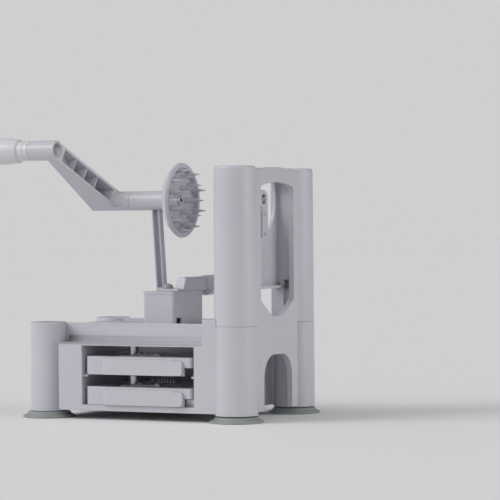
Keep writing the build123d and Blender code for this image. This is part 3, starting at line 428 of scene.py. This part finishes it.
blade_steel = steel("blade_steel", blade_low_tone, blade_high_tone, 0.26, grind_stretch)
for cassette in ("tower", "upper", "lower"):
    body = f"{cassette}_cassette"
    rounded_moulding(f"{body}_moulding", f"{body}_frame", white_abs, body, frame_edge)
    low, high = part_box(f"{body}_corer")
    middle = (low + high) / 2
    if cassette == "tower":
        seat = Matrix((
            (0, 0, -1, low.x + corer_reach), (-1, 0, 0, middle.y), (0, 1, 0, middle.z),
            (0, 0, 0, 1),
        ))
        corer_depth = high.x - low.x - corer_reach
    else:
        seat = Matrix((
            (0, -1, 0, middle.x), (1, 0, 0, middle.y), (0, 0, 1, high.z - corer_reach),
            (0, 0, 0, 1),
        ))
        corer_depth = high.z - low.z - corer_reach

    corer = bmesh.new()
    turn_outline(
        corer,
        [
            (corer_radius - corer_wall, -corer_depth), (corer_radius, -corer_depth),
            (corer_radius, corer_reach - corer_grind),
            (corer_radius - corer_wall + corer_rim_land, corer_reach),
            (corer_radius - corer_wall, corer_reach), (corer_radius - corer_wall, -corer_depth),
        ],
        (0, 0, 0), (0, 0, 1), (1, 0, 0), 48,
    )
    bmesh.ops.transform(corer, matrix=seat, verts=corer.verts)
    place_piece(f"{body}_corer_tube", corer, blade_steel, body, "steel", f"{body}_corer")

    blade = bmesh.new()
    section = [
        (blade_root, 0), (blade_edge, 0), (blade_edge, blade_edge_thickness),
        (blade_edge - blade_grind, blade_thickness), (blade_root, blade_thickness),
    ]
    end_face = blade.faces.new([blade.verts.new((x, blade_outer, z)) for x, z in section])
    grown = bmesh.ops.extrude_face_region(blade, geom=[end_face])["geom"]
    far_points = [part for part in grown if isinstance(part, bmesh.types.BMVert)]
    bmesh.ops.translate(blade, verts=far_points, vec=(0, blade_inner - blade_outer, 0))
    bmesh.ops.recalc_face_normals(blade, faces=blade.faces)
    root_corners = [
        line for line in blade.edges
        if all(abs(point.co.x - blade_root) < 0.00001 for point in line.verts)
        and abs(line.verts[0].co.y - line.verts[1].co.y) < 0.00001
    ]
    bmesh.ops.bevel(
        blade, geom=root_corners, offset=blade_corner, offset_type="OFFSET", segments=4, profile=0.5,
        affect="EDGES", material=-1,
    )
    root_line = Vector((blade_root, 0, 0))
    bmesh.ops.rotate(
        blade, verts=blade.verts, cent=root_line, matrix=Matrix.Rotation(-blade_lift, 3, "Y")
    )
    bmesh.ops.transform(blade, matrix=seat, verts=blade.verts)
    place_piece(f"{body}_ground_blade", blade, blade_steel, body, "steel", f"{body}_blade")

    screws = bmesh.new()
    screw_x = (blade_root - 0.0080) / 2
    for screw_y in (blade_inner - blade_screw_inset, blade_outer + blade_screw_inset):
        pan_head_screw(
            screws,
            seat @ Matrix.Translation((screw_x, screw_y, blade_thickness + blade_screw_rise)),
            blade_screw_radius, blade_screw_head, blade_thickness + web_thickness,
        )
    place_piece(f"{body}_pan_screws", screws, plain_steel, body, "steel", f"{body}_screws")

    if cassette in tooth_pitches:
        pitch = tooth_pitches[cassette]
        comb = bmesh.new()
        bmesh.ops.create_cube(comb, size=1)
        bmesh.ops.scale(
            comb, vec=(comb_width, blade_inner - blade_outer, blade_thickness), verts=comb.verts
        )
        bmesh.ops.translate(
            comb, verts=comb.verts,
            vec=(comb_left + comb_width / 2, (blade_inner + blade_outer) / 2, blade_thickness / 2),
        )
        bmesh.ops.bevel(
            comb, geom=comb.edges[:], offset=comb_edge, offset_type="OFFSET", segments=1,
            profile=0.5, affect="EDGES", material=-1,
        )
        for index in range(int((blade_inner - blade_outer) / pitch + 0.001)):
            tooth = bmesh.ops.create_cone(
                comb, cap_ends=True, segments=4, radius1=0.5, radius2=0.03,
                depth=tooth_height + blade_thickness / 2,
            )["verts"]
            bmesh.ops.rotate(
                comb, verts=tooth, cent=(0, 0, 0), matrix=Matrix.Rotation(pi / 4, 3, "Z")
            )
            bmesh.ops.scale(
                comb, verts=tooth, vec=(2 ** 0.5 * tooth_width, 2 ** 0.5 * tooth_thickness, 1)
            )
            bmesh.ops.translate(
                comb, verts=tooth,
                vec=(
                    comb_left + comb_width / 2, blade_inner - pitch * (index + 0.5),
                    blade_thickness / 2 + (tooth_height + blade_thickness / 2) / 2,
                ),
            )
        bmesh.ops.transform(comb, matrix=seat, verts=comb.verts)
        place_piece(f"{body}_toothed_comb", comb, blade_steel, body, "steel", f"{body}_comb")


# Studio. A plain pale floor with a background of the same tone, a wide soft key light from
# the near left, a weaker one from the far right, and a bright half of the room to mirror.
pale_tone = (0.623, 0.624, 0.628, 1)
floor_tone = (0.845, 0.845, 0.845, 1)
room_dim, room_bright = 0.2, 0.66
key_direction = Vector((-0.85, -0.75, 0.75)).normalized()
feet = [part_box(name) for name in ("front_near_foot", "front_far_foot", "rear_near_foot")]
ground_x = (feet[0][1].x + feet[2][0].x) / 2
ground_y = (feet[0][0].y + feet[1][1].y) / 2

ground = bmesh.new()
bmesh.ops.create_grid(ground, x_segments=1, y_segments=1, size=30)
floor_mesh = bpy.data.meshes.new("floor")
ground.to_mesh(floor_mesh)
ground.free()
floor = bpy.data.objects.new("floor", floor_mesh)
bpy.context.collection.objects.link(floor)
floor_look = bpy.data.materials.new("pale_floor")
floor_look.use_nodes = True
floor_shader = floor_look.node_tree.nodes["Principled BSDF"]
floor_shader.inputs["Base Color"].default_value = floor_tone
floor_shader.inputs["Roughness"].default_value = 1
floor_shader.inputs["Specular IOR Level"].default_value = 0
floor_mesh.materials.append(floor_look)

world = bpy.data.worlds.new("studio")
bpy.context.scene.world = world
world.use_nodes = True
nodes, links = world.node_tree.nodes, world.node_tree.links
room = nodes["Background"]
way = nodes.new("ShaderNodeTexCoord")
towards_key = nodes.new("ShaderNodeVectorMath")
towards_key.operation = "DOT_PRODUCT"
towards_key.inputs[1].default_value = key_direction
brightness = nodes.new("ShaderNodeMapRange")
brightness.interpolation_type = "SMOOTHSTEP"
brightness.inputs["From Min"].default_value = -0.2
brightness.inputs["From Max"].default_value = 0.85
brightness.inputs["To Min"].default_value = room_dim
brightness.inputs["To Max"].default_value = room_bright
backdrop = nodes.new("ShaderNodeBackground")
backdrop.inputs["Color"].default_value = pale_tone
seen = nodes.new("ShaderNodeLightPath")
either = nodes.new("ShaderNodeMixShader")
links.new(way.outputs["Generated"], towards_key.inputs[0])
links.new(towards_key.outputs["Value"], brightness.inputs["Value"])
links.new(brightness.outputs["Result"], room.inputs["Strength"])
links.new(seen.outputs["Is Camera Ray"], either.inputs["Fac"])
links.new(room.outputs["Background"], either.inputs[1])
links.new(backdrop.outputs["Background"], either.inputs[2])
links.new(either.outputs["Shader"], nodes["World Output"].inputs["Surface"])
room.inputs["Color"].default_value = (0.98, 0.98, 1, 1)


def studio_lamp(name, direction, strength, spread):
    """A distant soft lamp that shines from a direction."""
    light = bpy.data.lights.new(name, "SUN")
    light.energy = strength
    light.angle = radians(spread)
    holder = bpy.data.objects.new(name, light)
    bpy.context.collection.objects.link(holder)
    holder.rotation_euler = Vector(direction).to_track_quat("Z", "Y").to_euler()


studio_lamp("key", key_direction, 1.1, 35)
studio_lamp("fill", (0.9, 0.1, 0.3), 0.95, 50)


# Camera. A long lens near the height of the crank, from the near right, as the object is
# seen in the photograph.
sensor_width, picture_pixels, focal_pixels = 36, 500, 2315.3
camera_aside, camera_before, camera_height = 0.9418, -1.8100, 0.16086

camera = bpy.data.cameras.new("camera")
camera.lens = sensor_width * focal_pixels / picture_pixels
holder = bpy.data.objects.new("camera", camera)
bpy.context.collection.objects.link(holder)
turn, tilt, roll = radians(25.547), radians(0.462), radians(-0.395)
ahead = Vector((-sin(turn) * cos(tilt), cos(turn) * cos(tilt), -sin(tilt)))
right = Vector((cos(turn), sin(turn), 0))
up = right.cross(ahead)
right_rolled = right * cos(roll) + up * sin(roll)
up_rolled = up * cos(roll) - right * sin(roll)
holder.matrix_world = Matrix((
    (right_rolled.x, up_rolled.x, -ahead.x, ground_x + camera_aside),
    (right_rolled.y, up_rolled.y, -ahead.y, ground_y + camera_before),
    (right_rolled.z, up_rolled.z, -ahead.z, camera_height),
    (0, 0, 0, 1),
))
bpy.context.scene.camera = holder
bpy.context.scene.view_settings.view_transform = "Standard"
